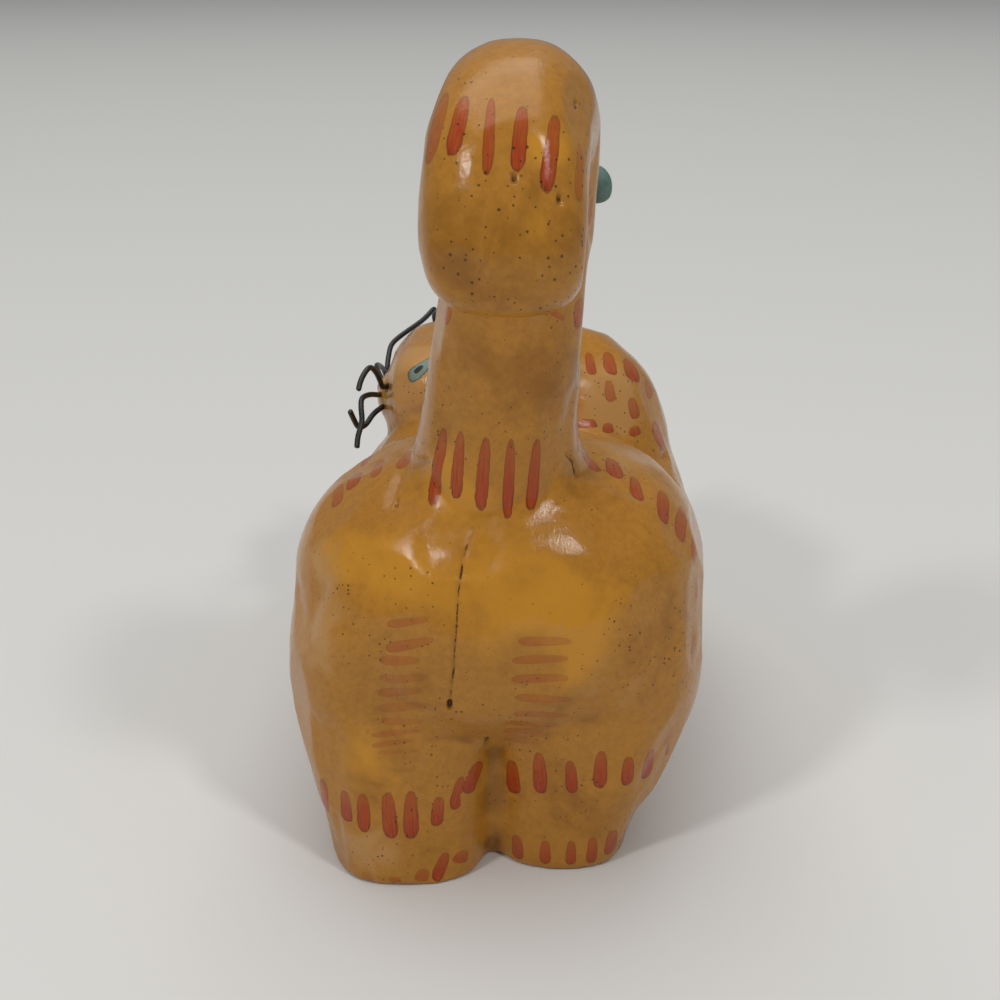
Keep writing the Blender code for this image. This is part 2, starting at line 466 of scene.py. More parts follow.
# The slope past which the photograph hardly shows the surface, and how far off it a look back starts
GRAZING = 0.10
CLEAR_OF_SKIN = 0.2 * MM


class Skin:
    """The carving's surface, as something to look at and to lay marks on."""

    def __init__(self, piece: bpy.types.Object, camera: PhotoCamera) -> None:
        """Take the surface of a mesh as it is now.

        Args:
            piece: the carving.
            camera: the photograph's camera.
        """
        self.tree = BVHTree.FromObject(piece, bpy.context.evaluated_depsgraph_get())
        self.camera = camera

    def hit(self, start: Vector, direction: Vector) -> Optional[tuple[Vector, Vector]]:
        """The first point of the surface on that line and the way out of it, or None."""
        point, normal, _, _ = self.tree.ray_cast(start, direction)
        return None if point is None else (point, normal)

    def seen(self, pixel: Pixel) -> Optional[tuple[Vector, Vector]]:
        """The point of the surface that shows at that pixel of the photograph, or None."""
        return self.hit(Vector(self.camera.place), self.camera.line_of_sight(pixel))

    def in_view(self, point: Vector, normal: Vector) -> bool:
        """Whether the photograph shows a point of the surface.

        Args:
            point: the point.
            normal: the way out of the surface there.

        Returns:
            True if it faces the camera and nothing hides it.
        """
        back = Vector(self.camera.place) - point
        if normal.dot(back.normalized()) < GRAZING:
            return False
        return self.hit(point + normal * CLEAR_OF_SKIN, back.normalized()) is None

    def nearest(self, place: Vector) -> tuple[Vector, Vector]:
        """The point of the surface that is nearest to that place, and the way out of it."""
        point, normal, _, _ = self.tree.find_nearest(place)
        return point, normal

    def stroke(
        self, found: Sequence[Optional[tuple[Vector, Vector]]], width: float, strength: float
    ) -> Optional[Stroke]:
        """Make a stroke of points of the surface.

        Args:
            found: the points with the ways out of the surface there. None is left out.
            width: the stroke's width in metres.
            strength: how much paint it holds, or how deep it is.

        Returns:
            The stroke, or None if fewer than two points are left.
        """
        kept = [f for f in found if f is not None]
        if len(kept) < 2:
            return None
        return Stroke(tuple(p for p, _ in kept), tuple(n for _, n in kept), width, strength)


@dataclass(frozen=True)
class Dash:
    """A brush dash that the photograph shows. Its place and sizes are in pixels.

    Attributes:
        middle: its middle.
        length: its length.
        lean: how far its top leans to the right, in degrees from upright.
        width: its width across.
        strength: how much paint it holds.
        mark: which paint it is.
    """

    middle: Pixel
    length: float
    lean: float = 0.0
    width: float = 13.0
    strength: float = 1.0
    mark: Mark = Mark.DASH

    def lay(self, skin: Skin, points: int = 5, steepest: float = 2.5) -> Optional[Stroke]:
        """Lay the dash on the surface along the camera's lines of sight.

        Args:
            skin: the carving's surface.
            points: how many points its path gets.
            steepest: how many times its size in the picture it may measure on a slope.

        Returns:
            The stroke, or None where the surface doesn't show there.
        """
        centre = skin.seen(self.middle)
        if centre is None:
            return None
        turn = math.radians(self.lean)
        ahead = Vector((math.sin(turn), -math.cos(turn)))
        aside = Vector((-ahead.y, ahead.x))
        middle = Vector(self.middle)
        pixel = (centre[0] - Vector(skin.camera.place)).length / skin.camera.focal_px
        shifts = [self.length * (i / (points - 1) - 0.5) for i in range(points)]
        found = [skin.seen(tuple(middle + ahead * shift)) for shift in shifts]
        reach = steepest * pixel * self.length / 2
        near = [f for f in found if f is not None and (f[0] - centre[0]).length < reach]
        sides = [skin.seen(tuple(middle + aside * self.width * share)) for share in (-0.5, 0.5)]
        flat = self.width * pixel
        across = flat if None in sides else (sides[1][0] - sides[0][0]).length
        return skin.stroke(near, min(max(across, flat), steepest * flat), self.strength)


# What the photograph shows, from the top down
CURL_DASHES = (
    Dash((436, 129), 74, 14, 11, 0.6), Dash((458, 126), 62, 12, 16), Dash((489, 136), 76, 4, 12, 0.9),
    Dash((520, 138), 64, 5, 16), Dash((551, 153), 78, 7, 16), Dash((580, 172), 60, 2, 8, 0.45),
)
STALK_DASHES = (
    Dash((448, 312), 18, 30, 11, 0.7), Dash((558, 312), 12, 30, 11, 0.6),
    Dash((579, 308), 38, -3, 10, 0.8), Dash((592, 212), 30, 4, 8, 0.7),
)
TAIL_BASE_DASHES = (
    Dash((437, 467), 78, 8, 11), Dash((458, 465), 68, 4, 13), Dash((483, 475), 75, 5, 14),
    Dash((509, 479), 80, 3, 12), Dash((534, 475), 74, 5, 12),
)
SADDLE_DASHES = (
    Dash((403, 459), 16, 12, 7, 0.6), Dash((377, 467), 20, 12, 7, 0.6),
    Dash((354, 477), 20, 14, 8, 0.8), Dash((336, 495), 20, 16, 7, 0.6),
    Dash((589, 460), 14, -12, 14, 0.8), Dash((615, 466), 20, -12, 12, 0.9),
    Dash((638, 487), 24, -8, 10, 0.9), Dash((664, 507), 30, -4, 10, 0.9),
    Dash((683, 524), 32, 0, 8, 0.8), Dash((695, 550), 28, 2, 6, 0.6),
)
SHOULDER_DASHES = (
    Dash((591, 363), 24, -6, 11, 0.9), Dash((611, 363), 24, -8, 11, 0.9),
    Dash((632, 371), 22, -14, 11, 0.9), Dash((610, 391), 22, -6, 11, 0.7),
    Dash((634, 408), 22, -14, 11, 0.8), Dash((650, 388), 18, -24, 9, 0.6),
    Dash((583, 425), 12, -6, 13, 0.9), Dash((608, 428), 10, -8, 12, 0.9),
    Dash((635, 431), 10, -12, 12, 0.9), Dash((659, 435), 26, -28, 10, 0.8),
)
RUMP_LEFT_BARS = (
    Dash((408, 622), 42, 82, 9, 0.45), Dash((409, 645), 50, 78, 11, 0.50),
    Dash((399, 661), 42, 88, 10, 0.45), Dash((403, 679), 50, 88, 9, 0.32),
    Dash((399, 693), 46, 84, 9, 0.42), Dash((402, 708), 50, 86, 9, 0.30),
    Dash((402, 722), 44, 88, 8, 0.28), Dash((396, 733), 50, 84, 6, 0.38),
    Dash((393, 743), 42, 82, 6, 0.40), Dash((398, 752), 42, 86, 5, 0.25),
)
RUMP_RIGHT_BARS = (
    Dash((545, 642), 54, 90, 11, 0.45), Dash((541, 661), 58, 88, 9, 0.48),
    Dash((540, 680), 58, 88, 9, 0.50), Dash((544, 699), 58, 92, 8, 0.40),
    Dash((541, 715), 56, 92, 6, 0.38), Dash((533, 725), 50, 90, 6, 0.34),
    Dash((525, 734), 44, 92, 6, 0.32), Dash((524, 742), 40, 90, 5, 0.28),
)
LEFT_LEG_DASHES = (
    Dash((324, 795), 32, -8, 6, 0.9), Dash((345, 807), 30, -6, 12), Dash((363, 813), 38, -3, 13),
    Dash((389, 816), 46, -6, 16), Dash((411, 816), 46, 0, 16), Dash((438, 812), 31, 6, 13),
    Dash((458, 793), 34, 14, 12), Dash((473, 777), 36, 26, 14),
)
RIGHT_LEG_DASHES = (
    Dash((513, 777), 34, -4, 13), Dash((539, 774), 42, -2, 14), Dash((571, 778), 34, -4, 13),
    Dash((601, 771), 36, 4, 15), Dash((628, 771), 28, 5, 12), Dash((650, 765), 30, 8, 10),
    Dash((669, 756), 24, 12, 6, 0.8),
)
LEFT_FOOT_DASHES = (
    Dash((368, 877), 8, 0, 12, 0.3), Dash((395, 882), 10, 0, 13, 0.6),
    Dash((422, 878), 16, 20, 14, 0.7), Dash((442, 868), 30, 22, 12), Dash((462, 857), 14, 20, 12, 0.8),
)
RIGHT_FOOT_DASHES = (
    Dash((517, 847), 24, -2, 11, 0.9), Dash((545, 853), 22, 0, 12, 0.9),
    Dash((571, 853), 24, 2, 11, 0.9), Dash((592, 850), 26, 4, 11, 0.9),
    Dash((611, 842), 24, 8, 10, 0.9), Dash((627, 834), 16, 10, 7, 0.8),
)
FLANK_DASHES = (
    Dash((700, 586), 26, 2, 5, 0.5), Dash((696, 650), 30, 4, 5, 0.45), Dash((672, 738), 20, 20, 5, 0.4),
)
CHEEK_PATCH = Dash((400, 352), 14, 10, 8, 0.6, Mark.ROSE)
SHOWN_DASHES = (
    *CURL_DASHES, *STALK_DASHES, *TAIL_BASE_DASHES, *SADDLE_DASHES, *SHOULDER_DASHES,
    *RUMP_LEFT_BARS, *RUMP_RIGHT_BARS, *LEFT_LEG_DASHES, *RIGHT_LEG_DASHES,
    *LEFT_FOOT_DASHES, *RIGHT_FOOT_DASHES, *FLANK_DASHES, CHEEK_PATCH,
)

# The drying crack down the rump, a short one beside the tail, and the deepest pinholes
RUMP_CRACK: tuple[Pixel, ...] = ((472, 528), (464, 552), (458, 590), (456, 630), (453, 672), (449, 708))
TAIL_CRACK: tuple[Pixel, ...] = ((568, 455), (574, 463), (580, 477))
PINHOLES: tuple[Pixel, ...] = ((580, 103), (514, 177), (560, 199), (449, 707), (487, 744), (396, 503))


@dataclass(frozen=True)
class Band:
    """A row of dashes around a limb or the body, for the sides that the photograph hides.

    Attributes:
        centre: a point on the limb's axis, in the middle of the band, in millimetres.
        axis: the way the limb runs, which the dashes run too.
        length: a dash's length in millimetres.
        spacing: the distance between dashes in millimetres.
        arc_deg: where the row starts and ends around the axis, in degrees. It is 0 at the
            front of an upright limb, and at the top of a lying one.
        reach: how far from the axis the surface may be, in millimetres.
        width: a dash's width in millimetres.
        strength: how much paint it holds.
        uneven_length, uneven_width, uneven_spacing: how far a dash may be off, as shares.
        blind_step_deg: the step around the axis where there is no surface within reach.
    """

    centre: Point
    axis: Point
    length: float = 4.2
    spacing: float = 3.4
    arc_deg: tuple[float, float] = (-180.0, 180.0)
    reach: float = 17.0
    width: float = 1.6
    strength: float = 0.9
    uneven_length: tuple[float, float] = (0.85, 1.1)
    uneven_width: tuple[float, float] = (0.85, 1.15)
    uneven_spacing: tuple[float, float] = (0.9, 1.1)
    blind_step_deg: float = 12.0

    def lay(self, skin: Skin, chance: np.random.Generator) -> list[Stroke]:
        """Lay the band's dashes wherever the photograph doesn't show the surface.

        Args:
            skin: the carving's surface.
            chance: makes the dashes as uneven as a hand does.

        Returns:
            The strokes.
        """
        axis = Vector(self.axis).normalized()
        centre = Vector(self.centre) * MM
        first = Vector((0, -1, 0)) if abs(axis.z) > 0.7 else Vector((0, 0, 1))
        first = (first - axis * first.dot(axis)).normalized()
        strokes = []
        angle = self.arc_deg[0]
        while angle < self.arc_deg[1]:
            out = Matrix.Rotation(math.radians(angle), 3, axis) @ first
            half = self.length * MM * chance.uniform(*self.uneven_length) / 2
            found = [self._surface(skin, centre + axis * shift, out) for shift in (-half, 0.0, half)]
            width = self.width * MM * chance.uniform(*self.uneven_width)
            step = self.blind_step_deg
            if found[1] is not None:
                step = math.degrees(self.spacing * MM / max((found[1][0] - centre).length, 2 * MM))
                stroke = skin.stroke(found, width, self.strength)
                if stroke is not None and not skin.in_view(*found[1]):
                    strokes.append(stroke)
            angle += step * chance.uniform(*self.uneven_spacing)
        return strokes

    def _surface(self, skin: Skin, inside: Vector, out: Vector) -> Optional[tuple[Vector, Vector]]:
        """The surface on one side of the axis.

        Args:
            skin: the carving's surface.
            inside: a point of the axis.
            out: the way that it is looked for in.

        Returns:
            The point and the way out of the surface there, or None if it is out of reach.
        """
        found = skin.hit(inside, out)
        if found is None or (found[0] - inside).length > self.reach * MM:
            return None
        return found


HIND_LEFT, HIND_RIGHT = (12.9, 17.5), (-9.5, 17.5)
FRONT_LEFT, FRONT_RIGHT = (9.9, -33.5), (-10.9, -33.5)
HIDDEN_BANDS = (
    Band((*HIND_LEFT, 12.0), (0, 0, 1)),
    Band((*HIND_RIGHT, 14.5), (0, 0, 1)),
    Band((*FRONT_LEFT, 15.5), (0, 0, 1)),
    Band((*FRONT_RIGHT, 15.5), (0, 0, 1)),
    *(
        Band((*leg, 2.8), (0, 0, 1), length=3.4)
        for leg in (HIND_LEFT, HIND_RIGHT, FRONT_LEFT, FRONT_RIGHT)
    ),
    Band((0.4, 20.0, 57.0), (0, 0.12, 1), length=7.5, spacing=2.9, reach=13.0),
    Band((-0.8, 22.4, 71.0), (0, 0.1, 1), length=4.6, reach=11.0),
    Band((-1.8, 24.2, 85.0), (0, 0.45, 1), length=6.5, reach=11.0),
    Band((-1.0, 10.0, 31.0), (0, 1, 0), length=4.4, spacing=4.0, arc_deg=(-125, 125), reach=30.0),
    Band((-2.0, -1.0, 30.0), (0, 1, 0), length=4.4, spacing=4.2, arc_deg=(-125, 125), reach=30.0),
    Band((-3.0, -12.0, 30.0), (0, 1, 0), length=4.4, spacing=4.2, arc_deg=(-125, 125), reach=30.0),
    Band((-3.0, -32.0, 27.0), (0, 0, 1), length=4.6, spacing=4.4, arc_deg=(-125, 125), reach=26.0),
    Band((-3.0, -32.0, 34.0), (0, 0, 1), length=4.2, spacing=4.4, arc_deg=(-125, 30), reach=26.0),
    Band((-6.0, -27.0, 43.0), (-0.15, 0, 1), length=4.0, spacing=4.2, arc_deg=(-170, -20), reach=20.0),
)


@dataclass(frozen=True)
class FaceStroke:
    """A brush mark on the face, which looks to the cat's left. Its sizes are in millimetres.

    Attributes:
        mark: which paint it is.
        points: places close to the surface, which it follows.
        width: its full width.
        strength: how much paint it holds.
    """

    mark: Mark
    points: tuple[Point, ...]
    width: float
    strength: float = 1.0

    def mirrored(self, middle: float) -> "FaceStroke":
        """The same mark on the other side of the face.

        Args:
            middle: the Y of the face's middle plane, in millimetres.

        Returns:
            That mark.
        """
        points = tuple((x, 2 * middle - y, z) for x, y, z in self.points)
        return FaceStroke(self.mark, points, self.width, self.strength)

    def lay(self, skin: Skin) -> Optional[Stroke]:
        """Lay the mark on the surface.

        Args:
            skin: the carving's surface.

        Returns:
            The stroke.
        """
        found = [skin.nearest(Vector(point) * MM) for point in self.points]
        return skin.stroke(found, self.width * MM, self.strength)


# The Y of the middle planes of the face and of the muzzle, in millimetres
FACE_MIDDLE = -30.2
MUZZLE_MIDDLE = -28.9
NEAR_FACE_MARKS = (
    FaceStroke(
        Mark.EYE, ((12.9, -20.6, 48.6), (12.2, -19.6, 50.3), (11.3, -19.4, 52.5), (10.2, -19.8, 54.3)), 2.6
    ),
    FaceStroke(Mark.LINE, ((12.4, -20.0, 49.8), (11.7, -19.6, 51.8)), 0.9),
    FaceStroke(Mark.ROSE, ((6.6, -22.6, 53.6), (5.2, -21.2, 60.2)), 3.0),
    FaceStroke(Mark.DASH, ((7.0, -27.4, 55.2), (1.0, -27.4, 57.4)), 1.5),
)
MOUTH_CORNER = FaceStroke(
    Mark.LINE, ((18.9, -28.9, 43.0), (18.5, -27.6, 42.0), (17.4, -26.0, 41.9), (16.9, -25.0, 42.6)), 0.55
)
FACE_MARKS = (
    *NEAR_FACE_MARKS,
    *(mark.mirrored(FACE_MIDDLE) for mark in NEAR_FACE_MARKS),
    MOUTH_CORNER,
    MOUTH_CORNER.mirrored(MUZZLE_MIDDLE),
    FaceStroke(Mark.LINE, ((19.2, -28.9, 45.0), (18.9, -28.9, 43.0)), 0.55),
    FaceStroke(Mark.ROSE, ((19.2, -28.9, 45.0), (18.6, -28.9, 47.0)), 3.0),
    FaceStroke(Mark.DASH, ((6.6, -30.2, 55.6), (0.0, -30.2, 57.8)), 1.5),
)


# How many widths past its end a stroke is still looked for, and what is stored where there is none
STROKE_REACH = 3
NO_STROKE = (9.0, 9.0, 0.0)


def attribute_of_strokes(mesh: bpy.types.Mesh, mark: Mark, strokes: Sequence[Stroke]) -> None:
    """Store where each face corner lies in the terms of the stroke that is nearest to it.

    The shader draws the strokes from this, so their edges don't depend on the mesh.

    Args:
        mesh: the carving's mesh.
        mark: the kind of mark, which names the attribute.
        strokes: all the strokes of that kind.
    """
    centres = vectors(mesh.polygons, "center")
    normals = vectors(mesh.polygons, "normal")
    owner = np.full(len(centres), -1)
    nearest = np.full(len(centres), np.inf)
    for number, stroke in enumerate(strokes):
        facing = sum(stroke.normals, Vector()).normalized()
        reach = stroke.length() / 2 + STROKE_REACH * stroke.width
        close = np.flatnonzero(stroke.around(centres, reach))
        close = close[normals[close] @ np.array(facing) > 0.0]
        away = stroke.distance(centres[close])
        closer = away < nearest[close]
        nearest[close[closer]] = away[closer]
        owner[close[closer]] = number
    corner_vertex = np.empty(len(mesh.loops), np.int32)
    mesh.loops.foreach_get("vertex_index", corner_vertex)
    corners_per_face = np.empty(len(mesh.polygons), np.int32)
    mesh.polygons.foreach_get("loop_total", corners_per_face)
    corner_owner = np.repeat(owner, corners_per_face)
    places = vertex_places(mesh)[corner_vertex]
    values = np.tile(np.array(NO_STROKE), (len(places), 1))
    for number, stroke in enumerate(strokes):
        corners = np.flatnonzero(corner_owner == number)
        along, across = stroke.measure(places[corners])
        values[corners, 0] = along
        values[corners, 1] = across
        values[corners, 2] = stroke.strength
    stored = mesh.attributes.new(mark.value, "FLOAT_VECTOR", "CORNER")
    stored.data.foreach_set("vector", values.astype(np.float32).ravel())


@dataclass(frozen=True)
class Press:
    """A soft push of the knife or the thumb into the surface, or out of it.

    Attributes:
        place: the middle of it, in millimetres.
        way: the direction that it moves the surface in.
        depth: how far, in millimetres.
        radius: how wide it is from its middle, in millimetres.
    """

    place: Point
    way: Point
    depth: float
    radius: float

    def move(self, places: np.ndarray) -> None:
        """Move the vertices that it reaches.

        Args:
            places: the places of all the vertices, which are changed.
        """
        away = np.linalg.norm(places - np.array(self.place) * MM, axis=1)
        share = fade(away / (self.radius * MM))
        places += share[:, None] * np.array(Vector(self.way).normalized()) * self.depth * MM


@dataclass(frozen=True)
class Patch:
    """A place where the ochre ground is given another tone, which in some places is painted shade and in
    others painted reflection. Its place and radius are in pixels.
    """

    middle: Pixel
    radius: float
    tone: Tone
    strength: float


# Partly the paint's own tone, partly painted light: the umber patches are painted shade on the curl, the
# stalk under it, the lower rump, the right side and the legs, and the pale ones painted reflection of the
# pale room on the flanks, the shoulder, the crest of the back, the head and the left foot
TONE_SHADE_AND_REFLECTION_PATCHES = (
    Patch((500, 590), 70, Tone.YELLOW, 0.7), Patch((580, 600), 46, Tone.YELLOW, 0.6),
    Patch((578, 660), 34, Tone.YELLOW, 0.65), Patch((390, 560), 50, Tone.YELLOW, 0.6),
    Patch((370, 775), 34, Tone.YELLOW, 0.6), Patch((545, 150), 26, Tone.YELLOW, 0.8),
    Patch((525, 215), 24, Tone.YELLOW, 0.4), Patch((490, 245), 80, Tone.UMBER, 0.45),
    Patch((440, 230), 50, Tone.UMBER, 0.25), Patch((450, 480), 45, Tone.YELLOW, 0.7),
    Patch((480, 380), 80, Tone.UMBER, 0.3), Patch((370, 780), 44, Tone.UMBER, 0.25),
    Patch((580, 240), 34, Tone.UMBER, 0.45), Patch((470, 300), 40, Tone.UMBER, 0.25),
    Patch((565, 385), 60, Tone.UMBER, 0.5), Patch((590, 480), 36, Tone.UMBER, 0.35),
    Patch((655, 640), 70, Tone.UMBER, 0.4), Patch((400, 700), 60, Tone.UMBER, 0.3),
    Patch((570, 715), 60, Tone.UMBER, 0.3), Patch((486, 800), 20, Tone.UMBER, 0.5),
    Patch((488, 850), 16, Tone.UMBER, 0.9), Patch((610, 690), 40, Tone.PALE, 0.35),
    Patch((315, 640), 40, Tone.PALE, 0.6), Patch((330, 560), 36, Tone.PALE, 0.5),
    Patch((330, 560), 40, Tone.YELLOW, 0.5), Patch((612, 395), 40, Tone.PALE, 1.0),
    Patch((630, 455), 40, Tone.PALE, 0.8), Patch((365, 850), 30, Tone.PALE, 0.6),
    Patch((405, 375), 40, Tone.PALE, 1.6), Patch((580, 820), 60, Tone.UMBER, 0.35),
    Patch((405, 835), 60, Tone.UMBER, 0.25),
)
FACE_PRESSES = (
    Press((19.0, -28.9, 46.0), (1, 0, 0), 0.5, 1.7),
    Press((7.0, -22.2, 56.5), (-1, 0, 0), 0.9, 2.6),
    Press((7.0, -40.4, 56.5), (-1, 0, 0), 0.9, 2.6),
    Press((16.6, -24.2, 46.8), (-1, -0.3, 0), 0.35, 2.6),
    Press((16.6, -36.2, 46.8), (-1, 0.3, 0), 0.35, 2.6),
)


@dataclass
class CarvedCat:
    """The carving itself, with its knife work, its cracks and all that is painted on it.

    Attributes:
        camera: the photograph's camera.
        grain, smoothing, softening: the skin's fineness, and how soft its edges are made.
        facet_spacing, facet_radius, facet_depth, facet_tilt, facet_rim: the knife's flats. They
            run out over the rim, which is a share of the radius.
        facet_tries: how many places are tried for a flat.
        same_side: how alike two places must face to be cut by one flat.
        wave_size, wave_height: the waves that the knife leaves.
        lacquer_wave_size, lacquer_wave_height: the lacquer's own.
        uncarved_above_sole, sole_height: the feet stand flat on the ground.
        muzzle_middle, muzzle_half: the muzzle's middle and half sizes.
        crack_width, crack_depth, pinhole_width, pinhole_depth, pinhole_half_px: the cracks.
        fine_reach, fine_cuts: the skin is cut finer that many half widths around them.
        hollow_passes, painted_shade_hollow, most_painted_shade: how hollows get darker, which is painted
        shade.
        paling_ridge, most_ridge_paling: how ridges get paler.
        patch_fade: how far past its radius a patch of the ground fades out.
        chance: makes the work as uneven as a hand does.
    """

    camera: PhotoCamera
    grain: float = 0.5 * MM
    smoothing: int = 12
    softening: int = 2
    facet_spacing: float = 9.0 * MM
    facet_radius: float = 8.0 * MM
    facet_depth: float = 0.42 * MM
    facet_tilt: float = 0.03
    facet_rim: float = 0.25
    facet_tries: int = 6000
    same_side: float = 0.5
    wave_size: float = 6.0 * MM
    wave_height: float = 0.14 * MM
    lacquer_wave_size: float = 2.2 * MM
    lacquer_wave_height: float = 0.03 * MM
    uncarved_above_sole: float = 1.2 * MM
    sole_height: float = 0.14 * MM
    muzzle_middle: Point = (15.5 * MM, -28.9 * MM, 44.0 * MM)
    muzzle_half: Point = (3.5 * MM, 6.05 * MM, 3.3 * MM)
    crack_width: float = 0.75 * MM
    crack_depth: float = 0.22 * MM
    pinhole_width: float = 0.8 * MM
    pinhole_depth: float = 0.4 * MM
    pinhole_half_px: float = 3.0
    fine_reach: float = 2.0
    fine_cuts: int = 2
    hollow_passes: int = 40
    painted_shade_hollow: float = 0.85 * MM
    most_painted_shade: float = 0.5
    paling_ridge: float = 0.45 * MM
    most_ridge_paling: float = 0.6
    patch_fade: float = 1.6
    chance: np.random.Generator = field(default_factory=lambda: np.random.default_rng(SEED))

    def build(self) -> bpy.types.Object:
        """Carve, mark and paint the cat.

        Returns:
            The finished piece.
        """
        piece = copy_of_solid("cat", "carved_cat")
        self._fill_whisker_holes(piece)
        apply_modifier(piece, "REMESH", mode="VOXEL", voxel_size=self.grain)
        apply_modifier(piece, "SMOOTH", factor=0.5, iterations=self.smoothing)
        skin = Skin(piece, self.camera)
        cracks = self._cracks(skin)
        pinholes = self._pinholes(skin)
        self._refine(piece, [*cracks, *pinholes])
        self._carve(piece)
        self._open_cracks(piece, cracks, self.crack_depth)
        self._open_cracks(piece, pinholes, self.pinhole_depth)
        make_active(piece)
        bpy.ops.object.shade_smooth()
        self._store_marks(piece, skin, cracks, pinholes)
        self._store_tones(piece, skin)
        return piece

    def _fill_whisker_holes(self, piece: bpy.types.Object) -> None:
        """Close the holes around the whiskers, which sit tight in them.

        Args:
            piece: the carving.
        """
        deselect_all()
        bpy.ops.mesh.primitive_uv_sphere_add(radius=1.0, **BALL)
        filler = bpy.context.object
        filler.scale = self.muzzle_half
        filler.location = self.muzzle_middle
        bpy.ops.object.transform_apply(location=True, rotation=True, scale=True)
        filler.select_set(True)
        piece.select_set(True)
        bpy.context.view_layer.objects.active = piece
        bpy.ops.object.join()

    def _cracks(self, skin: Skin) -> list[Stroke]:
        """Find the cracks on the surface.

        Args:
            skin: the carving's surface.

        Returns:
            The cracks, as strokes.
        """
        found = [
            skin.stroke([skin.seen(pixel) for pixel in path], self.crack_width, strength)
            for path, strength in ((RUMP_CRACK, 1.0), (TAIL_CRACK, 0.6))
        ]
        return [stroke for stroke in found if stroke is not None]

    def _pinholes(self, skin: Skin) -> list[Stroke]:
        """Find the pinholes on the surface.

        Args:
            skin: the carving's surface.

        Returns:
            The pinholes, as strokes that are as short as they are wide.
        """
        shifts = (-self.pinhole_half_px, self.pinhole_half_px)
        ends = [[skin.seen((across, down + shift)) for shift in shifts] for across, down in PINHOLES]
        found = [skin.stroke(pair, self.pinhole_width, 1.0) for pair in ends]
        return [stroke for stroke in found if stroke is not None]

    def _refine(self, piece: bpy.types.Object, strokes: Sequence[Stroke]) -> None:
        """Give the surface finer faces beside cracks and pinholes.

        Args:
            piece: the carving.
            strokes: the cracks and the pinholes.
        """
        centres = vectors(piece.data.polygons, "center")
        wanted = np.zeros(len(centres), bool)
        for stroke in strokes:
            near = stroke.around(centres, max(stroke.length(), 2 * stroke.width))
            wanted |= near & (stroke.distance(centres) < self.fine_reach)
        select_faces(piece, wanted)
        bpy.ops.mesh.subdivide(number_cuts=self.fine_cuts)
        bpy.ops.object.mode_set(mode="OBJECT")

    def _carve(self, piece: bpy.types.Object) -> None:
        """Cut the knife's flats and leave the surface a little wavy, but keep the soles flat.

        Args:
            piece: the carving.
        """
        mesh = piece.data
        places = vertex_places(mesh)
        normals = vertex_normals(mesh)
        cut = np.zeros(len(places))
        for site in self._facet_sites(places):
            offset = places - places[site]
            away = np.linalg.norm(offset, axis=1)
            facing = normals @ normals[site] > self.same_side
            close = np.flatnonzero((away < self.facet_radius) & facing)
            tilt = normals[site] + self.chance.normal(0, self.facet_tilt, 3)
            rise = offset[close] @ tilt + self.facet_depth
            rise = np.where(rise > self.facet_depth, 2 * self.facet_depth - rise, rise)
            window = np.clip((1 - away[close] / self.facet_radius) / self.facet_rim, 0, 1)
            cut[close] = np.maximum(cut[close], np.maximum(rise, 0) * window)
        waves = ripple(places, self.wave_size, 0.0) * self.wave_height
        lacquer = ripple(places, self.lacquer_wave_size, 40.0) * self.lacquer_wave_height
        above = np.clip(places[:, 2] / self.uncarved_above_sole, 0, 1)
        places += normals * ((waves + lacquer - cut) * above)[:, None]
        for press in FACE_PRESSES:
            press.move(places)
        move_vertices(mesh, places)
        apply_modifier(piece, "SMOOTH", factor=0.5, iterations=self.softening)
        places = vertex_places(mesh)
        places[:, 2] = np.where(places[:, 2] < self.sole_height, 0.0, places[:, 2])
        move_vertices(mesh, places)

    def _facet_sites(self, places: np.ndarray) -> list[int]:
        """Choose where the knife's flats are.

        Args:
            places: the places of all the vertices.

        Returns:
            Vertices all over the surface, about as far apart as the flats are.
        """
        kept: list[int] = []
        for vertex in self.chance.permutation(len(places))[:self.facet_tries]:
            if not kept:
                kept.append(int(vertex))
            elif np.linalg.norm(places[kept] - places[vertex], axis=1).min() > self.facet_spacing:
                kept.append(int(vertex))
        return kept

    def _open_cracks(self, piece: bpy.types.Object, strokes: Sequence[Stroke], depth: float) -> None:
        """Press the cracks or the pinholes into the surface.

        Args:
            piece: the carving.
            strokes: the cracks or the pinholes.
            depth: how deep they are.
        """
        places = vertex_places(piece.data)
        normals = vertex_normals(piece.data)
        for stroke in strokes:
            near = stroke.around(places, stroke.length() + stroke.width)
            sink = fade(stroke.distance(places)) * near * depth * stroke.strength
            places -= normals * sink[:, None]
        move_vertices(piece.data, places)

    def _store_marks(
        self, piece: bpy.types.Object, skin: Skin, cracks: Sequence[Stroke], pinholes: Sequence[Stroke]
    ) -> None:
        """Store all that is painted on the cat, and where its cracks are, for the shader.

        Args:
            piece: the carving.
            skin: its surface.
            cracks: the cracks, as strokes.
            pinholes: the pinholes, as strokes.
        """
        strokes: dict[Mark, list[Stroke]] = {mark: [] for mark in Mark}
        for mark in (*SHOWN_DASHES, *FACE_MARKS):
            stroke = mark.lay(skin)
            if stroke is not None:
                strokes[mark.mark].append(stroke)
        for band in HIDDEN_BANDS:
            strokes[Mark.DASH] += band.lay(skin, self.chance)
        strokes[Mark.CRACK] = list(cracks)
        strokes[Mark.PIT] = list(pinholes)
        for mark, laid in strokes.items():
            log.info("%d strokes of %s on the carving", len(laid), mark.value)
            attribute_of_strokes(piece.data, mark, laid)

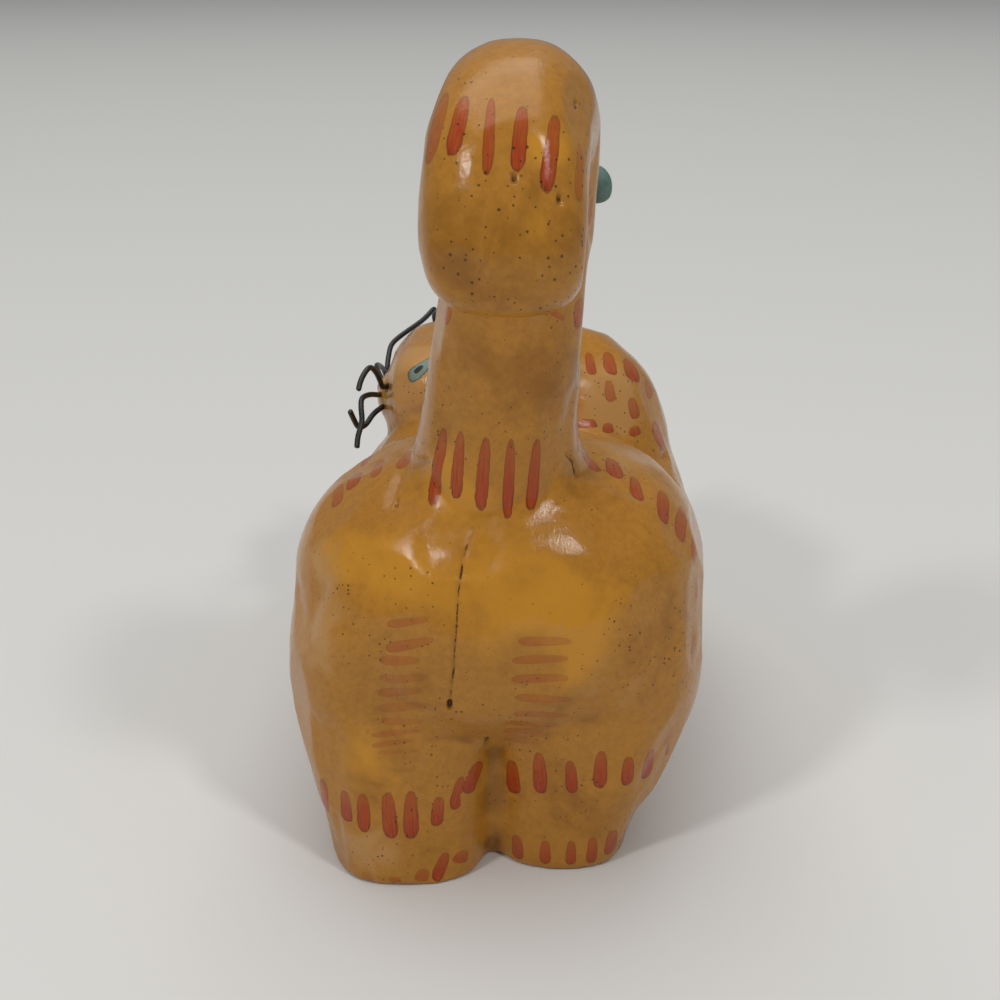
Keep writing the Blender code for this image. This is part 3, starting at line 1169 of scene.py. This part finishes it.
    def _store_tones(self, piece: bpy.types.Object, skin: Skin) -> None:
        """Store where the ochre is yellower, browner or paler, for the shader: its own tone, with painted
        shade and painted reflection.

        Args:
            piece: the carving.
            skin: its surface.
        """
        places = vertex_places(piece.data)
        tones = np.zeros((len(places), 3))
        # The patches: the paint's own tone, with painted shade and painted reflection among them
        for patch in TONE_SHADE_AND_REFLECTION_PATCHES:
            centre = skin.seen(patch.middle)
            if centre is None:
                continue
            pixel = (centre[0] - Vector(self.camera.place)).length / self.camera.focal_px
            reach = self.patch_fade * patch.radius * pixel
            away = np.linalg.norm(places - np.array(centre[0]), axis=1)
            tones[:, patch.tone.value] += fade(away / reach) * patch.strength
        hollows = self._hollows(piece.data)
        # Umber in the hollows is painted shade
        tones[:, Tone.UMBER.value] += np.clip(hollows / self.painted_shade_hollow, 0, self.most_painted_shade)
        tones[:, Tone.PALE.value] += np.clip(-hollows / self.paling_ridge - 1, 0, self.most_ridge_paling)
        stored = piece.data.attributes.new(TONES, "FLOAT_VECTOR", "POINT")
        stored.data.foreach_set("vector", tones.astype(np.float32).ravel())

    def _hollows(self, mesh: bpy.types.Mesh) -> np.ndarray:
        """Measure how the surface bends in and out.

        Args:
            mesh: the carving's mesh.

        Returns:
            How deep each vertex lies in a hollow, in metres. It is below 0 on a ridge.
        """
        ends = np.empty(len(mesh.edges) * 2, np.int32)
        mesh.edges.foreach_get("vertices", ends)
        one, other = ends.reshape(-1, 2).T
        places = vertex_places(mesh)
        total = len(places)
        neighbours = np.bincount(one, minlength=total) + np.bincount(other, minlength=total)
        soft = places.copy()
        for _ in range(self.hollow_passes):
            around = [
                np.bincount(one, soft[other, axis], total) + np.bincount(other, soft[one, axis], total)
                for axis in range(3)
            ]
            soft = (soft + np.stack(around, axis=1) / neighbours[:, None]) / 2
        return ((soft - places) * vertex_normals(mesh)).sum(axis=1)


@dataclass
class Whisker:
    """One bent whisker, rounder than its solid and set tight in its hole."""

    node: str
    rounding: int = 2
    swelling: float = 0.03 * MM

    def build(self) -> bpy.types.Object:
        """Round the wire of its solid.

        Returns:
            The finished piece.
        """
        piece = copy_of_solid(self.node, f"{self.node}_wire")
        apply_modifier(piece, "SUBSURF", levels=self.rounding, render_levels=self.rounding)
        places = vertex_places(piece.data)
        move_vertices(piece.data, places + vertex_normals(piece.data) * self.swelling)
        make_active(piece)
        bpy.ops.object.shade_smooth()
        return piece


@dataclass
class TailBead:
    """The teal bead beside the tail, with the dab of glue that holds it.

    Attributes:
        size: its radius as a share of its solid's.
        flatness: how much its outer side is flattened.
        glue_from, glue_slope, glue_reach: the dab of glue starts at that share of the radius,
            rises as steeply as the slope says and reaches that far towards the tail.
        unevenness, unevenness_size: how uneven it is, and how wide its waves are.
    """

    size: float = 0.99
    flatness: float = 0.5
    glue_from: float = 0.72
    glue_slope: float = 1.5
    glue_reach: float = 0.55 * MM
    unevenness: float = 0.03
    unevenness_size: float = 1.6 * MM

    def build(self, skin: Skin) -> bpy.types.Object:
        """Shape the bead, flatten its outer side and draw its near side onto the tail.

        Args:
            skin: the carving's surface, which it is glued to.

        Returns:
            The finished piece.
        """
        low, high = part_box("tail_bead")
        centre = (low + high) / 2
        radius = (high.z - low.z) / 2
        deselect_all()
        bpy.ops.mesh.primitive_uv_sphere_add(radius=radius * self.size, location=centre, **BALL)
        piece = bpy.context.object
        piece.name = "teal_bead_on_tail"
        bpy.ops.object.transform_apply(location=True, rotation=True, scale=True)
        towards = np.array((skin.nearest(centre)[0] - centre).normalized())
        places = vertex_places(piece.data)
        facing = (places - np.array(centre)) @ towards / radius
        outer = np.clip(-facing, 0, 1)
        places += (outer**2 * self.flatness * radius)[:, None] * towards
        pulled = np.clip((facing - self.glue_from) / (1 - self.glue_from), 0, 1) ** self.glue_slope
        places += pulled[:, None] * towards * self.glue_reach
        swell = ripple(places, self.unevenness_size, 12.0) * self.unevenness
        places += swell[:, None] * (places - np.array(centre))
        move_vertices(piece.data, places)
        bpy.ops.object.shade_smooth()
        return piece


@dataclass(frozen=True)
class Pigment:
    """A paint that strokes are made with.

    Attributes:
        mark: the strokes that it fills.
        body: its colour.
        rim: its colour along the edge of a stroke, where it has pooled.
        cover: how much of the ground it hides.
        lift: how much of that is lost towards the far end, where the brush lifts.
        taper: how much slimmer that end is.
    """

    mark: Mark
    body: str
    rim: str
    cover: float
    lift: float
    taper: float


@dataclass(frozen=True)
class Wash:
    """A thin wash of another tone over patches of the ground. The umber wash also lays painted shade, and
    the pale one painted reflection.

    Attributes:
        tone: the patches that it covers.
        colour: its colour.
        mottle: the pattern that breaks it up.
        shift: which part of that pattern it takes.
    """

    tone: Tone
    colour: str
    mottle: Grain
    shift: float


@dataclass(frozen=True)
class LacqueredPaint:
    """Ochre emulsion brushed on carved softwood, brick red dashes, and a clear gloss lacquer.

    The lacquer is thick and a little wavy, so lights show in it as soft uneven patches and its
    edges pick up the pale room, while the paint below it is matt and mottled.

    Attributes:
        ochre: the ground.
        umber: what its finest mottle and one of its washes bring into it.
        washes: the washes over it, in the order in which they are laid. The umber one also lays painted
            shade, and the pale one painted reflection.
        pigments: the paints of the strokes, in the order in which they are laid.
        soot: the dirt in cracks, pinholes and specks.
        fine_mottle, dullness: the finest mottle, and how much umber it brings into the ochre.
        wash_unevenness: how much the mottle breaks up the washes.
        wash_edge: where a wash starts to show, and where it covers.
        bristles, edge_wobble: what makes a stroke's outline uneven, and how much.
        bluntness, roundness: how square a stroke is at its ends and at its sides.
        lifting: where along a stroke the brush comes off the wood.
        stroke_edge, pooling: where a stroke ends, and where its paint is thickest.
        hair_stretch, hair_spread, hair_scale, hair_detail: the streaks that the hairs leave.
        streak_reach, thinnest_streak: how much of them shows, and how thin they get.
        speck_mm, speck_cluster, speck_clustering, speck_size, speck_darkness: the specks.
        cracks: how narrow the dirt in each kind of crack is.
        crumble, raggedness: what breaks the dirt's outline, and how much.
        crack_edge: where the dirt ends.
        grain, grain_stretch: the wood's grain, which runs up and down.
        peel: the waves in the lacquer.
        peel_height, sunk_depth: the lacquer's waves and the cracks' depth beside the grain's.
        relief_height: how high the grain stands, in metres.
    """

    ochre: str = "#B67C2A"
    umber: str = "#895717"
    washes: tuple[Wash, ...] = (
        Wash(Tone.YELLOW, "#CC8D28", Grain(9.1, 5.0, 0.6, 0.5), 3.1),
        # Also painted shade, in hollows and in shaded places
        Wash(Tone.UMBER, umber, Grain(7.0, 5.0, 0.6, 0.5), 17.9),
        # Also painted reflection of the pale room
        Wash(Tone.PALE, "#BC8C52", Grain(5.6, 5.0, 0.6, 0.5), 41.3),
    )
    pigments: tuple[Pigment, ...] = (
        Pigment(Mark.ROSE, "#B4634A", "#A65542", 0.8, 0.1, 0.4),
        Pigment(Mark.DASH, "#A02E12", "#70230D", 0.97, 0.3, 0.25),
        Pigment(Mark.EYE, "#6B857F", "#34423F", 1.0, 0.0, 0.4),
        Pigment(Mark.LINE, "#1B1A19", "#1B1A19", 1.0, 0.0, 0.2),
    )
    soot: str = "#1E150E"
    paint_roughness: float = 0.5
    paint_gloss: float = 0.06
    lacquer_weight: float = 0.8
    lacquer_roughness: float = 0.09
    lacquer_ior: float = 1.4
    fine_mottle: Grain = Grain(0.9, 4.0, 0.7)
    dullness: Ramp = Ramp(0.40, 0.70, 0.0, 0.38)
    wash_unevenness: float = 1.7
    wash_edge: Ramp = Ramp(1.0, 1.65, 0.0, 0.85, soft=True)
    bristles: Grain = Grain(0.9, 3.0)
    edge_wobble: float = 0.9
    bluntness: float = 4.0
    roundness: float = 2.4
    lifting: Ramp = Ramp(-0.8, 1.3, soft=True)
    stroke_edge: Ramp = Ramp(1.54, 1.30, soft=True)
    pooling: Ramp = Ramp(0.85, 1.40, soft=True)
    hair_stretch: Point = (0.7, 3.0, 1.0)
    hair_spread: Point = (90.0, 90.0, 90.0)
    hair_scale: float = 1.6
    hair_detail: float = 3.0
    streak_reach: tuple[float, float] = (0.35, 0.72)
    thinnest_streak: float = 0.72
    speck_mm: float = 0.62
    speck_cluster: Grain = Grain(14.0)
    speck_clustering: float = 1.6
    speck_size: Ramp = Ramp(1.3, 2.0, 0.0, 0.27)
    speck_darkness: float = 0.7
    crumble: Grain = Grain(0.9, 4.0, 0.7)
    cracks: tuple[tuple[Mark, float], ...] = ((Mark.CRACK, 0.42), (Mark.PIT, 0.85))
    raggedness: float = 4.5
    crack_edge: Ramp = Ramp(2.75, 2.25, 0.0, 0.85)
    grain: Grain = Grain(0.34, 4.0, 0.6)
    grain_stretch: Point = (1.0, 1.0, 0.5)
    peel: Grain = Grain(1.6)
    peel_height: float = 0.6
    sunk_depth: float = 1.5
    relief_height: float = 0.04 * MM

    def build(self) -> bpy.types.Material:
        """Make the material.

        Returns:
            The material, which reads the carving's own attributes and Object coordinates.
        """
        material, shader, add, place = start_material("lacquered_ochre_paint_on_wood")
        painted = self._ground(add, place)
        for pigment in self.pigments:
            painted = self._stroked(add, place, painted, pigment)
        marked, depth = self._cracked(add, place, painted)
        relief = self._relief(add, place, depth)
        feed(shader, {"Base Color": marked, "Normal": relief, "Coat Normal": relief})
        shader.inputs["Roughness"].default_value = self.paint_roughness
        shader.inputs["Specular IOR Level"].default_value = self.paint_gloss
        shader.inputs["Coat Weight"].default_value = self.lacquer_weight
        shader.inputs["Coat Roughness"].default_value = self.lacquer_roughness
        shader.inputs["Coat IOR"].default_value = self.lacquer_ior
        return material

    def _ground(self, add: AddNode, place: Socket) -> Socket:
        """The mottled ochre ground, with painted shade and painted reflection in its washes.

        Args:
            add: adds a node to the material.
            place: Object coordinates.

        Returns:
            Its colour.
        """
        tone = add("Attribute", {"attribute_name": TONES})
        tones = add("SeparateXYZ", None, {0: tone.outputs["Vector"]})
        fine = add("TexNoise", self.fine_mottle.settings(), {"Vector": place})
        dull = add("MapRange", self.dullness.settings(), {"Value": fine})
        shades = {"data_type": "RGBA", COLOUR_A: linear(self.ochre), COLOUR_B: linear(self.umber)}
        colour = add("Mix", shades, {FACTOR: dull}).outputs[MIXED]
        for wash in self.washes:
            moved = add("Mapping", {"Location": (wash.shift, 0.0, 0.0)}, {"Vector": place})
            mottle = add("TexNoise", wash.mottle.settings(), {"Vector": moved})
            uneven = {"operation": "MULTIPLY_ADD", 1: self.wash_unevenness}
            laid = add("Math", uneven, {0: mottle, 2: tones.outputs[wash.tone.value]})
            shown = add("MapRange", self.wash_edge.settings(), {"Value": laid})
            over = {"data_type": "RGBA", COLOUR_B: linear(wash.colour)}
            colour = add("Mix", over, {FACTOR: shown, COLOUR_A: colour}).outputs[MIXED]
        return colour

    def _stroked(self, add: AddNode, place: Socket, ground: Socket, pigment: Pigment) -> Socket:
        """The strokes of one paint: blunt where the brush is set down, slim where it lifts.

        Args:
            add: adds a node to the material.
            place: Object coordinates.
            ground: the colour below them.
            pigment: the paint.

        Returns:
            The colour with the strokes.
        """
        stored = add("Attribute", {"attribute_name": pigment.mark.value}).outputs["Vector"]
        parts = add("SeparateXYZ", None, {0: stored})
        run, aside, strength = (parts.outputs[axis] for axis in "XYZ")
        lifted = add("MapRange", self.lifting.settings(), {"Value": run})
        narrow = add("Math", {"operation": "MULTIPLY_ADD", 1: -pigment.taper, 2: 1.0}, {0: lifted})
        slim = add("Math", {"operation": "DIVIDE"}, {0: aside, 1: narrow})
        along = add("Math", {"operation": "ABSOLUTE"}, {0: run})
        across = add("Math", {"operation": "ABSOLUTE"}, {0: slim})
        blunt = add("Math", {"operation": "POWER", 1: self.bluntness}, {0: along})
        rounded = add("Math", {"operation": "POWER", 1: self.roundness}, {0: across})
        form = add("Math", {"operation": "ADD"}, {0: blunt, 1: rounded})
        wobble = add("TexNoise", self.bristles.settings(), {"Vector": place})
        uneven = add("Math", {"operation": "MULTIPLY_ADD", 1: self.edge_wobble}, {0: wobble, 2: form})
        inside = add("MapRange", self.stroke_edge.settings(), {"Value": uneven})
        pooled = add("MapRange", self.pooling.settings(), {"Value": uneven})
        paints = {"data_type": "RGBA", COLOUR_A: linear(pigment.body), COLOUR_B: linear(pigment.rim)}
        colour = add("Mix", paints, {FACTOR: pooled}).outputs[MIXED]
        stretched = add("VectorMath", {"operation": "MULTIPLY", 1: self.hair_stretch}, {0: stored})
        spread = {"operation": "MULTIPLY_ADD", 1: self.hair_spread}
        scattered = add("VectorMath", spread, {0: place, 2: stretched})
        drawn = {"Scale": self.hair_scale, "Detail": self.hair_detail}
        hairs = add("TexNoise", drawn, {"Vector": scattered})
        thinnest = pigment.cover * self.thinnest_streak
        streak = Ramp(*self.streak_reach, pigment.cover, thinnest)
        streaks = add("MapRange", streak.settings(), {"Value": hairs})
        left = add("Math", {"operation": "MULTIPLY_ADD", 1: -pigment.lift, 2: 1.0}, {0: lifted})
        held = add("Math", {"operation": "MULTIPLY"}, {0: inside, 1: strength})
        thick = add("Math", {"operation": "MULTIPLY"}, {0: streaks, 1: left})
        cover = add("Math", {"operation": "MULTIPLY"}, {0: held, 1: thick})
        links = {FACTOR: cover, COLOUR_A: ground, COLOUR_B: colour}
        return add("Mix", {"data_type": "RGBA"}, links).outputs[MIXED]

    def _cracked(self, add: AddNode, place: Socket, painted: Socket) -> tuple[Socket, Source]:
        """Dark specks all over, and dirt in the cracks and the pinholes.

        Args:
            add: adds a node to the material.
            place: Object coordinates.
            painted: the colour below them.

        Returns:
            The colour with them, and how dark each place is made.
        """
        cells = add("TexVoronoi", {"Scale": 1 / (self.speck_mm * MM)}, {"Vector": place})
        chosen = add("SeparateColor", None, {0: cells.outputs["Color"]})
        clusters = add("TexNoise", self.speck_cluster.settings(), {"Vector": place})
        clustered = {"operation": "MULTIPLY_ADD", 1: self.speck_clustering}
        chance = add("Math", clustered, {0: clusters, 2: chosen})
        size = add("MapRange", self.speck_size.settings(), {"Value": chance})
        speck = add("Math", {"operation": "LESS_THAN"}, {0: cells.outputs["Distance"], 1: size})
        total = add("Math", {"operation": "MULTIPLY", 1: self.speck_darkness}, {0: speck})
        crumble = add("TexNoise", self.crumble.settings(), {"Vector": place})
        for mark, narrow in self.cracks:
            stored = add("Attribute", {"attribute_name": mark.value})
            parts = add("SeparateXYZ", None, {0: stored.outputs["Vector"]})
            along = add("Math", {"operation": "POWER", 1: self.bluntness}, {0: parts.outputs["X"]})
            side = add("Math", {"operation": "DIVIDE", 1: narrow}, {0: parts.outputs["Y"]})
            square = add("Math", {"operation": "MULTIPLY"}, {0: side, 1: side})
            form = add("Math", {"operation": "ADD"}, {0: along, 1: square})
            broken = {"operation": "MULTIPLY_ADD", 1: self.raggedness}
            ragged = add("Math", broken, {0: crumble, 2: form})
            inside = add("MapRange", self.crack_edge.settings(), {"Value": ragged})
            total = add("Math", {"operation": "MAXIMUM"}, {0: total, 1: inside})
        dirt = {"data_type": "RGBA", COLOUR_B: linear(self.soot)}
        return add("Mix", dirt, {FACTOR: total, COLOUR_A: painted}).outputs[MIXED], total

    def _relief(self, add: AddNode, place: Socket, depth: Source) -> Source:
        """Brush marks and wood grain that show through the lacquer.

        Args:
            add: adds a node to the material.
            place: Object coordinates.
            depth: how far each place is sunk, from 0 to 1.

        Returns:
            The bumped normal.
        """
        stretched = add("Mapping", {"Scale": self.grain_stretch}, {"Vector": place})
        grain = add("TexNoise", self.grain.settings(), {"Vector": stretched})
        sunk = add("Math", {"operation": "MULTIPLY_ADD", 1: -self.sunk_depth}, {0: depth, 2: grain})
        peel = add("TexNoise", self.peel.settings(), {"Vector": place})
        height = add("Math", {"operation": "MULTIPLY_ADD", 1: self.peel_height}, {0: peel, 2: sunk})
        return add("Bump", {"Strength": 1.0, "Distance": self.relief_height}, {"Height": height})


@dataclass(frozen=True)
class ThinCoat:
    """A thin coat of one colour, in which a second one shows where it is worn or thin.

    Attributes:
        name: the material's name.
        colour: the coat.
        beneath: what shows through it.
        grain: the pattern in which it does.
        wear: how much of it shows.
        roughness: how matt the coat is.
        unevenness: how much smoother and how much more matt it is in places, or None.
        relief: how strong its bumps are, and how high they stand in metres.
    """

    name: str
    colour: str
    beneath: str
    grain: Grain
    wear: Ramp
    roughness: float
    unevenness: Optional[tuple[float, float]]
    relief: tuple[float, float]

    def build(self) -> bpy.types.Material:
        """Make the material.

        Returns:
            The material.
        """
        material, shader, add, place = start_material(self.name)
        grain = add("TexNoise", self.grain.settings(), {"Vector": place})
        worn = add("MapRange", self.wear.settings(), {"Value": grain})
        shades = {"data_type": "RGBA", COLOUR_A: linear(self.colour), COLOUR_B: linear(self.beneath)}
        colour = add("Mix", shades, {FACTOR: worn}).outputs[MIXED]
        strength, height = self.relief
        bump = add("Bump", {"Strength": strength, "Distance": height}, {"Height": grain})
        feed(shader, {"Base Color": colour, "Normal": bump})
        shader.inputs["Roughness"].default_value = self.roughness
        if self.unevenness is not None:
            smoother, rougher = self.unevenness
            span = Ramp(0.0, 1.0, self.roughness - smoother, self.roughness + rougher)
            feed(shader, {"Roughness": add("MapRange", span.settings(), {"Value": grain})})
        return material


@dataclass(frozen=True)
class EnamelledWire(ThinCoat):
    """Soft iron wire with a black baked enamel: nearly black, smooth, and satin where handled."""

    name: str = "black_enamelled_wire"
    colour: str = "#151516"
    beneath: str = "#3A3A3C"
    grain: Grain = Grain(0.8, 4.0)
    wear: Ramp = Ramp(0.55, 0.75, 0.0, 0.6)
    roughness: float = 0.34
    unevenness: Optional[tuple[float, float]] = (0.08, 0.14)
    relief: tuple[float, float] = (0.3, 0.02 * MM)


@dataclass(frozen=True)
class TealPaint(ThinCoat):
    """Thin matt teal paint on a turned wooden bead: chalky, with darker grain showing through."""

    name: str = "teal_paint_on_wooden_bead"
    colour: str = "#5C7A72"
    beneath: str = "#2F4540"
    grain: Grain = Grain(0.35, 5.0, 0.7)
    wear: Ramp = Ramp(0.5, 0.72, 0.0, 0.8)
    roughness: float = 0.55
    unevenness: Optional[tuple[float, float]] = None
    relief: tuple[float, float] = (0.4, 0.04 * MM)


@dataclass(frozen=True)
class SoftLight:
    """A square studio light that faces the cat.

    Attributes:
        name: what it does.
        azimuth_deg: where it stands, from behind the cat towards the picture's right.
        elevation_deg: how high it stands.
        distance: how far off, in metres.
        size: its side, in metres.
        power: its power in watts.
        colour: its colour.
    """

    name: str
    azimuth_deg: float
    elevation_deg: float
    distance: float
    size: float
    power: float
    colour: str = "#FFFFFF"

    def build(self, target: Vector) -> bpy.types.Object:
        """Add the light, turned to the cat.

        Args:
            target: the point of the cat that it faces.

        Returns:
            The light.
        """
        azimuth, elevation = math.radians(self.azimuth_deg), math.radians(self.elevation_deg)
        flat = Vector((-math.sin(azimuth), math.cos(azimuth), 0.0))
        away = flat * math.cos(elevation) + Vector((0, 0, math.sin(elevation)))
        place = target + away * self.distance
        turn = away.to_track_quat("Z", "Y").to_euler()
        bpy.ops.object.light_add(type="AREA", location=place, rotation=turn)
        light = bpy.context.object
        light.name = self.name
        light.data.size = self.size
        light.data.energy = self.power
        light.data.color = linear(self.colour)[:3]
        return light


@dataclass
class Studio:
    """The pale floor and the soft lights."""

    floor_colour: str = "#DCDAD6"
    floor_size: float = 8.0
    floor_roughness: float = 0.85
    room_colour: str = "#DDE2E4"
    room_strength: float = 0.30
    lit_height: float = 0.05
    lights: tuple[SoftLight, ...] = (
        SoftLight("ceiling", -165.0, 78.0, 2.0, 2.00, 23.0),
        SoftLight("left_window", -43.0, 40.0, 0.9, 0.1, 1.8),
        SoftLight("right_window", 40.0, 47.0, 0.9, 0.1, 1.6),
    )

    def build(self) -> None:
        """Add the floor, the lights and the room's own light."""
        deselect_all()
        bpy.ops.mesh.primitive_plane_add(size=self.floor_size)
        floor = bpy.context.object
        floor.name = "pale_floor"
        floor.data.materials.append(self._floor_material())
        for light in self.lights:
            light.build(Vector((0.0, 0.0, self.lit_height)))
        world = bpy.data.worlds.new("pale_room")
        world.use_nodes = True
        background = world.node_tree.nodes["Background"]
        background.inputs["Color"].default_value = linear(self.room_colour)
        background.inputs["Strength"].default_value = self.room_strength
        bpy.context.scene.world = world
        bpy.context.scene.view_settings.view_transform = "Standard"

    def _floor_material(self) -> bpy.types.Material:
        """Plain pale paper, which is matt.

        Returns:
            The material.
        """
        material = bpy.data.materials.new("pale_paper")
        material.use_nodes = True
        shader = material.node_tree.nodes["Principled BSDF"]
        shader.inputs["Base Color"].default_value = linear(self.floor_colour)
        shader.inputs["Roughness"].default_value = self.floor_roughness
        return material


def hand_over(piece: bpy.types.Object, node: str, material: bpy.types.Material) -> None:
    """Dress a piece and let it stand for its solid.

    Args:
        piece: the finished piece.
        node: the solid that it replaces.
        material: its material.
    """
    piece.data.materials.clear()
    piece.data.materials.append(material)
    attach(piece, RIDES_ON)
    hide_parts(node)
    log.info("%s: %d faces, for %s", piece.name, len(piece.data.polygons), node)


def main() -> None:
    """Build the camera, the cat and its trim, and the studio, in that order."""
    logging.basicConfig(level=logging.INFO, format="%(name)s: %(message)s")
    camera = PhotoCamera()
    camera.build()
    cat = CarvedCat(camera).build()
    hand_over(cat, "cat", LacqueredPaint().build())
    wire = EnamelledWire().build()
    for side in ("left", "right"):
        for number in (1, 2, 3):
            node = f"whisker_{side}_{number}"
            hand_over(Whisker(node).build(), node, wire)
    bead = TailBead().build(Skin(cat, camera))
    hand_over(bead, "tail_bead", TealPaint().build())
    Studio().build()


if __name__ == "__main__":
    main()
